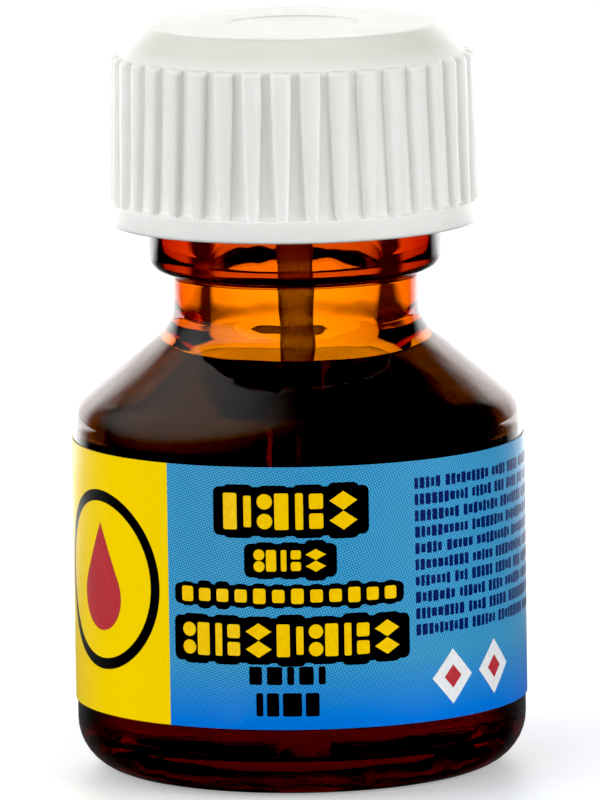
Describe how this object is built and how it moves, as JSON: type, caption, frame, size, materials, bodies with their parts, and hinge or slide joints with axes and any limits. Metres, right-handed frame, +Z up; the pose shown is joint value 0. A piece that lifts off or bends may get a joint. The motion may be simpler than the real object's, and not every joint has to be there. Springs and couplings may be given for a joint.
{
  "type": "glue applicator bottle",
  "caption": "Short round amber glass bottle of liquid model glue with a wrap-round label and a ribbed white screw cap whose inside carries a small applicator brush.",
  "frame": {"origin": "middle of the base, on the surface that the bottle stands on", "axes": "+Z up along the bottle's axis, -Y towards the front of the label, +X to the right seen from the front"},
  "size_m": [0.0302, 0.0302, 0.0498],
  "materials": {
    "amber_glass": "clear polished amber glass",
    "printed_label": "glossy printed and varnished paper",
    "liquid_glue": "clear thin liquid, slightly yellow",
    "white_cap_plastic": "satin moulded polypropylene",
    "seal_foam": "soft closed-cell foam",
    "natural_plastic": "translucent natural polypropylene",
    "anchor_wire": "flat drawn wire",
    "nylon_bristle": "fine nylon filaments"
  },
  "bodies": {
    "bottle": {"bottle_glass": "amber_glass", "label": "printed_label", "glue": "liquid_glue"},
    "seal": {"seal_washer": "seal_foam"},
    "cap": {"cap_shell": "white_cap_plastic", "brush_stem": "natural_plastic", "bristle_anchor": "anchor_wire", "bristle_tuft": "nylon_bristle"}
  },
  "joints": [
    {"name": "cap_rise", "type": "slide", "parent": "bottle", "child": "seal", "axis": [0, 0, 1], "range_m": [0, 0.045]},
    {"name": "cap_turn", "type": "hinge", "parent": "seal", "child": "cap", "pos_m": [0, 0, 0.04], "axis": [0, 0, 1], "range_deg": [0, 5400]}
  ],
  "couplings": [
    {"joint": "cap_rise", "follows": "cap_turn", "m_per_rad": 0.00047746}
  ]
}
